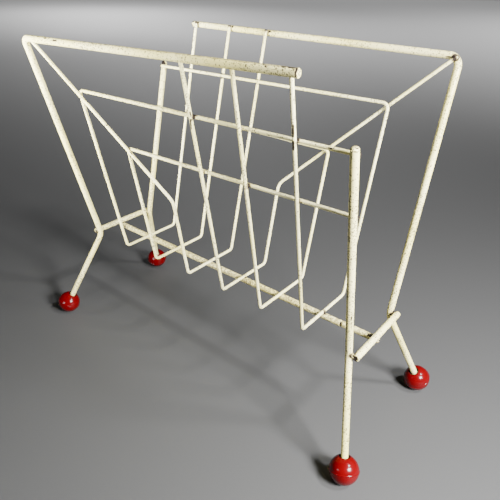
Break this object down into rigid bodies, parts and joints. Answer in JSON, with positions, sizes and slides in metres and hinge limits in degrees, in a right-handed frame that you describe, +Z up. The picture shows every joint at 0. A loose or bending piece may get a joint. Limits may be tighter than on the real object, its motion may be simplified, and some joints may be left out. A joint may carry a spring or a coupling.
{
  "type": "magazine rack",
  "caption": "Free-standing magazine rack of cream-enamelled bent wire: a V-shaped open basket between two angular rod frames on splayed legs with glossy red ball feet.",
  "frame": {"origin": "middle of the footprint, on the surface that the balls stand on", "axes": "+X along the rails, +Y across the rack towards the far side, +Z up"},
  "size_m": [0.41, 0.192, 0.3268],
  "materials": {
    "rod_enamel": "semi-gloss cream enamel on steel rod, yellowed and chipped",
    "wire_enamel": "semi-gloss cream enamel on steel wire",
    "enamelled_weld": "cream enamel over weld metal, chipped to brown in places",
    "red_ball": "glossy moulded red plastic with a fine parting ridge"
  },
  "bodies": {
    "root": {"near_frame_rod": "rod_enamel", "far_frame_rod": "rod_enamel", "near_post_rod": "rod_enamel", "far_post_rod": "rod_enamel", "right_crossbar": "rod_enamel", "left_crossbar": "rod_enamel", "spine_rod": "rod_enamel", "near_upper_wire": "wire_enamel", "near_lower_wire": "wire_enamel", "near_diagonal_wire": "wire_enamel", "far_upper_wire": "wire_enamel", "far_lower_wire": "wire_enamel", "far_diagonal_wire": "wire_enamel", "near_left_ball": "red_ball", "near_right_ball": "red_ball", "far_right_ball": "red_ball", "far_left_ball": "red_ball", "near_rail_welds": "enamelled_weld", "far_rail_welds": "enamelled_weld", "near_crossing_welds": "enamelled_weld", "far_crossing_welds": "enamelled_weld", "near_post_welds": "enamelled_weld", "far_post_welds": "enamelled_weld", "spine_welds": "enamelled_weld", "right_crossbar_welds": "enamelled_weld", "left_crossbar_welds": "enamelled_weld"}
  },
  "joints": []
}
